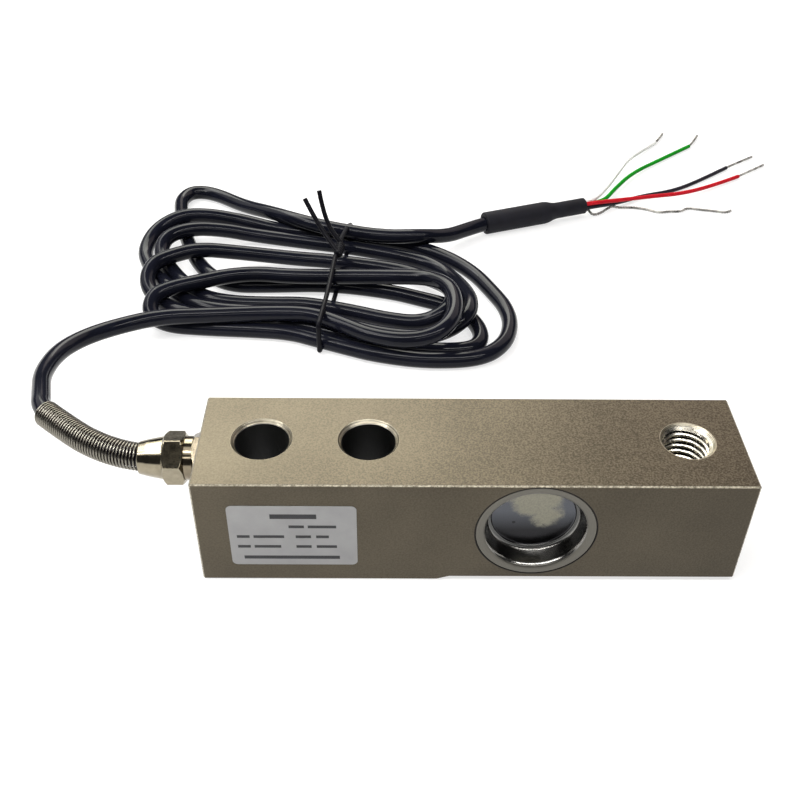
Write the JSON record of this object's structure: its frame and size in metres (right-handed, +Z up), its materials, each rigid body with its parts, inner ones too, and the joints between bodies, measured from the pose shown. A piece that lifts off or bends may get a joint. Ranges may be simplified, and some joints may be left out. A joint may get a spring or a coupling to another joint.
{
  "type": "shear beam load cell",
  "caption": "Shear beam load cell: steel block with fixing holes, a threaded load hole and sealed gauge pockets, and a shielded cable, tied in a hank, with bared wires.",
  "frame": {"origin": "on the fixing pad's underside, midway between the two fixing holes", "axes": "+X along the beam to the load end, +Y away from the label side, +Z up along the fixing holes"},
  "size_m": [0.259, 0.2574, 0.0318],
  "materials": {
    "beam_nickel": "satin",
    "cup_nickel": "polished",
    "gland_nickel": "polished",
    "spring_steel": "polished",
    "gauge_foil": "satin",
    "sealant": "matte",
    "bare_copper": "satin",
    "board": "satin",
    "resistor": "matte",
    "core_insulation": "satin",
    "black_rubber": "matte",
    "cable_jacket": "semi-gloss",
    "tie_coating": "semi-gloss",
    "heat_shrink": "satin",
    "label_foil": "satin",
    "white_insulation": "satin",
    "green_insulation": "satin",
    "black_insulation": "satin",
    "red_insulation": "satin",
    "tinned_copper": "satin"
  },
  "bodies": {
    "root": {"beam_body": "beam_nickel", "front_seal_cup": "cup_nickel", "rear_seal_cup": "cup_nickel", "front_shear_gauge": "gauge_foil", "rear_shear_gauge": "gauge_foil", "front_gauge_sealant": "sealant", "rear_gauge_sealant": "sealant", "gauge_leads": "bare_copper", "bridge_board": "board", "trim_resistors": "resistor", "inner_cores": "core_insulation", "gland_gasket": "black_rubber", "gland_body": "gland_nickel", "gland_grommet": "black_rubber", "gland_nut": "gland_nickel", "strain_relief_spring": "spring_steel", "cable_lead": "cable_jacket", "cable_hank": "cable_jacket", "cable_tail": "cable_jacket", "wire_tie": "tie_coating", "heat_shrink_sleeve": "heat_shrink", "rating_label": "label_foil", "white_wire": "white_insulation", "green_wire": "green_insulation", "black_wire": "black_insulation", "red_wire": "red_insulation", "tinned_tips": "tinned_copper", "drain_wire": "tinned_copper"}
  },
  "joints": []
}
